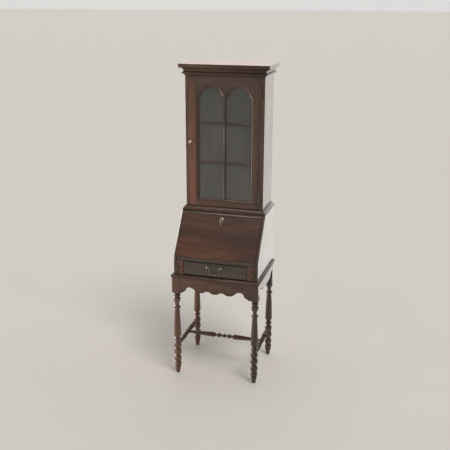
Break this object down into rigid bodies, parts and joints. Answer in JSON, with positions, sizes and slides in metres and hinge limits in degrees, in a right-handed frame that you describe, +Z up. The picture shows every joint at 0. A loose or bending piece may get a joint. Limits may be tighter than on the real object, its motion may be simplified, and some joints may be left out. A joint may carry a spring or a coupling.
{
  "type": "secretary desk",
  "caption": "Narrow glazed bookcase over a slant-front writing desk with a drawer and pull-out supports, on a turned-leg stand.",
  "frame": {"origin": "on the floor, under the middle of the whole piece's box", "axes": "+Z up, the front with the doors and drawer faces -Y, +X is the viewer's right seen from the front"},
  "size_m": [0.514, 0.428, 1.77],
  "materials": {
    "case_wood": "dark red-brown mahogany, glossy varnish",
    "drawer_front_wood": "dark brown mahogany, glossy varnish",
    "inner_wood": "unpolished brown secondary wood",
    "glass": "clear thin sheet glass",
    "brass": "aged brass",
    "steel": "plain steel lock case"
  },
  "bodies": {
    "carcase": {"leg_front_left": "case_wood", "leg_front_right": "case_wood", "leg_back_left": "case_wood", "leg_back_right": "case_wood", "apron_front": "case_wood", "apron_back": "case_wood", "apron_left": "case_wood", "apron_right": "case_wood", "base_moulding": "case_wood", "side_stretcher_left": "case_wood", "side_stretcher_right": "case_wood", "centre_stretcher": "case_wood", "desk_side_left": "case_wood", "desk_side_right": "case_wood", "desk_top": "case_wood", "writing_board": "case_wood", "drawer_divider_left": "case_wood", "drawer_divider_right": "case_wood", "case_side_left": "case_wood", "case_side_right": "case_wood", "case_bottom": "case_wood", "case_top": "case_wood", "shelf_lower": "case_wood", "shelf_upper": "case_wood", "cornice_board": "case_wood", "cornice_moulding": "case_wood", "waist_moulding": "case_wood", "desk_bottom": "inner_wood", "desk_back": "inner_wood", "gallery_shelf": "inner_wood", "gallery_upright": "inner_wood", "case_back": "inner_wood", "door_hinge_lower": "brass", "door_hinge_upper": "brass"},
    "door": {"door_stile_left": "case_wood", "door_stile_right": "case_wood", "door_top_rail": "case_wood", "door_bottom_rail": "case_wood", "glazing_bars": "case_wood", "door_glass": "glass", "door_knob": "brass"},
    "fall": {"fall_board": "case_wood", "lock_case": "steel", "escutcheon": "brass", "fall_pivot_left": "brass", "fall_pivot_right": "brass"},
    "key": {"key": "brass"},
    "bolt": {"lock_bolt": "brass"},
    "drawer": {"drawer_front": "drawer_front_wood", "drawer_side_left": "inner_wood", "drawer_side_right": "inner_wood", "drawer_back": "inner_wood", "drawer_bottom": "inner_wood", "bail_post_left": "brass", "bail_post_right": "brass"},
    "bail": {"bail": "brass"},
    "loper_left": {"loper_left": "case_wood", "loper_knob_left": "brass"},
    "loper_right": {"loper_right": "case_wood", "loper_knob_right": "brass"}
  },
  "joints": [
    {"name": "door_hinge", "type": "hinge", "parent": "carcase", "child": "door", "pos_m": [0.2033, -0.0072, 1.343], "axis": [0, 0, 1], "range_deg": [0, 110]},
    {"name": "fall_hinge", "type": "hinge", "parent": "carcase", "child": "fall", "pos_m": [0, -0.18413, 0.71954], "axis": [1, 0, 0], "range_deg": [0, 125.62]},
    {"name": "key_turn", "type": "hinge", "parent": "fall", "child": "key", "pos_m": [0, -0.0607, 0.91146], "axis": [0, -0.8129, 0.5824], "range_deg": [0, 180]},
    {"name": "bolt_slide", "type": "slide", "parent": "fall", "child": "bolt", "axis": [0, 0.5824, 0.8129], "range_m": [0, 0.014]},
    {"name": "drawer_slide", "type": "slide", "parent": "carcase", "child": "drawer", "axis": [0, -1, 0], "range_m": [0, 0.2]},
    {"name": "bail_swing", "type": "hinge", "parent": "drawer", "child": "bail", "pos_m": [0, -0.2073, 0.685], "axis": [-1, 0, 0], "range_deg": [0, 85]},
    {"name": "loper_left_slide", "type": "slide", "parent": "carcase", "child": "loper_left", "axis": [0, -1, 0], "range_m": [0, 0.22]},
    {"name": "loper_right_slide", "type": "slide", "parent": "carcase", "child": "loper_right", "axis": [0, -1, 0], "range_m": [0, 0.22]}
  ],
  "couplings": [
    {"joint": "bolt_slide", "follows": "key_turn", "m_per_rad": 0.004456}
  ]
}
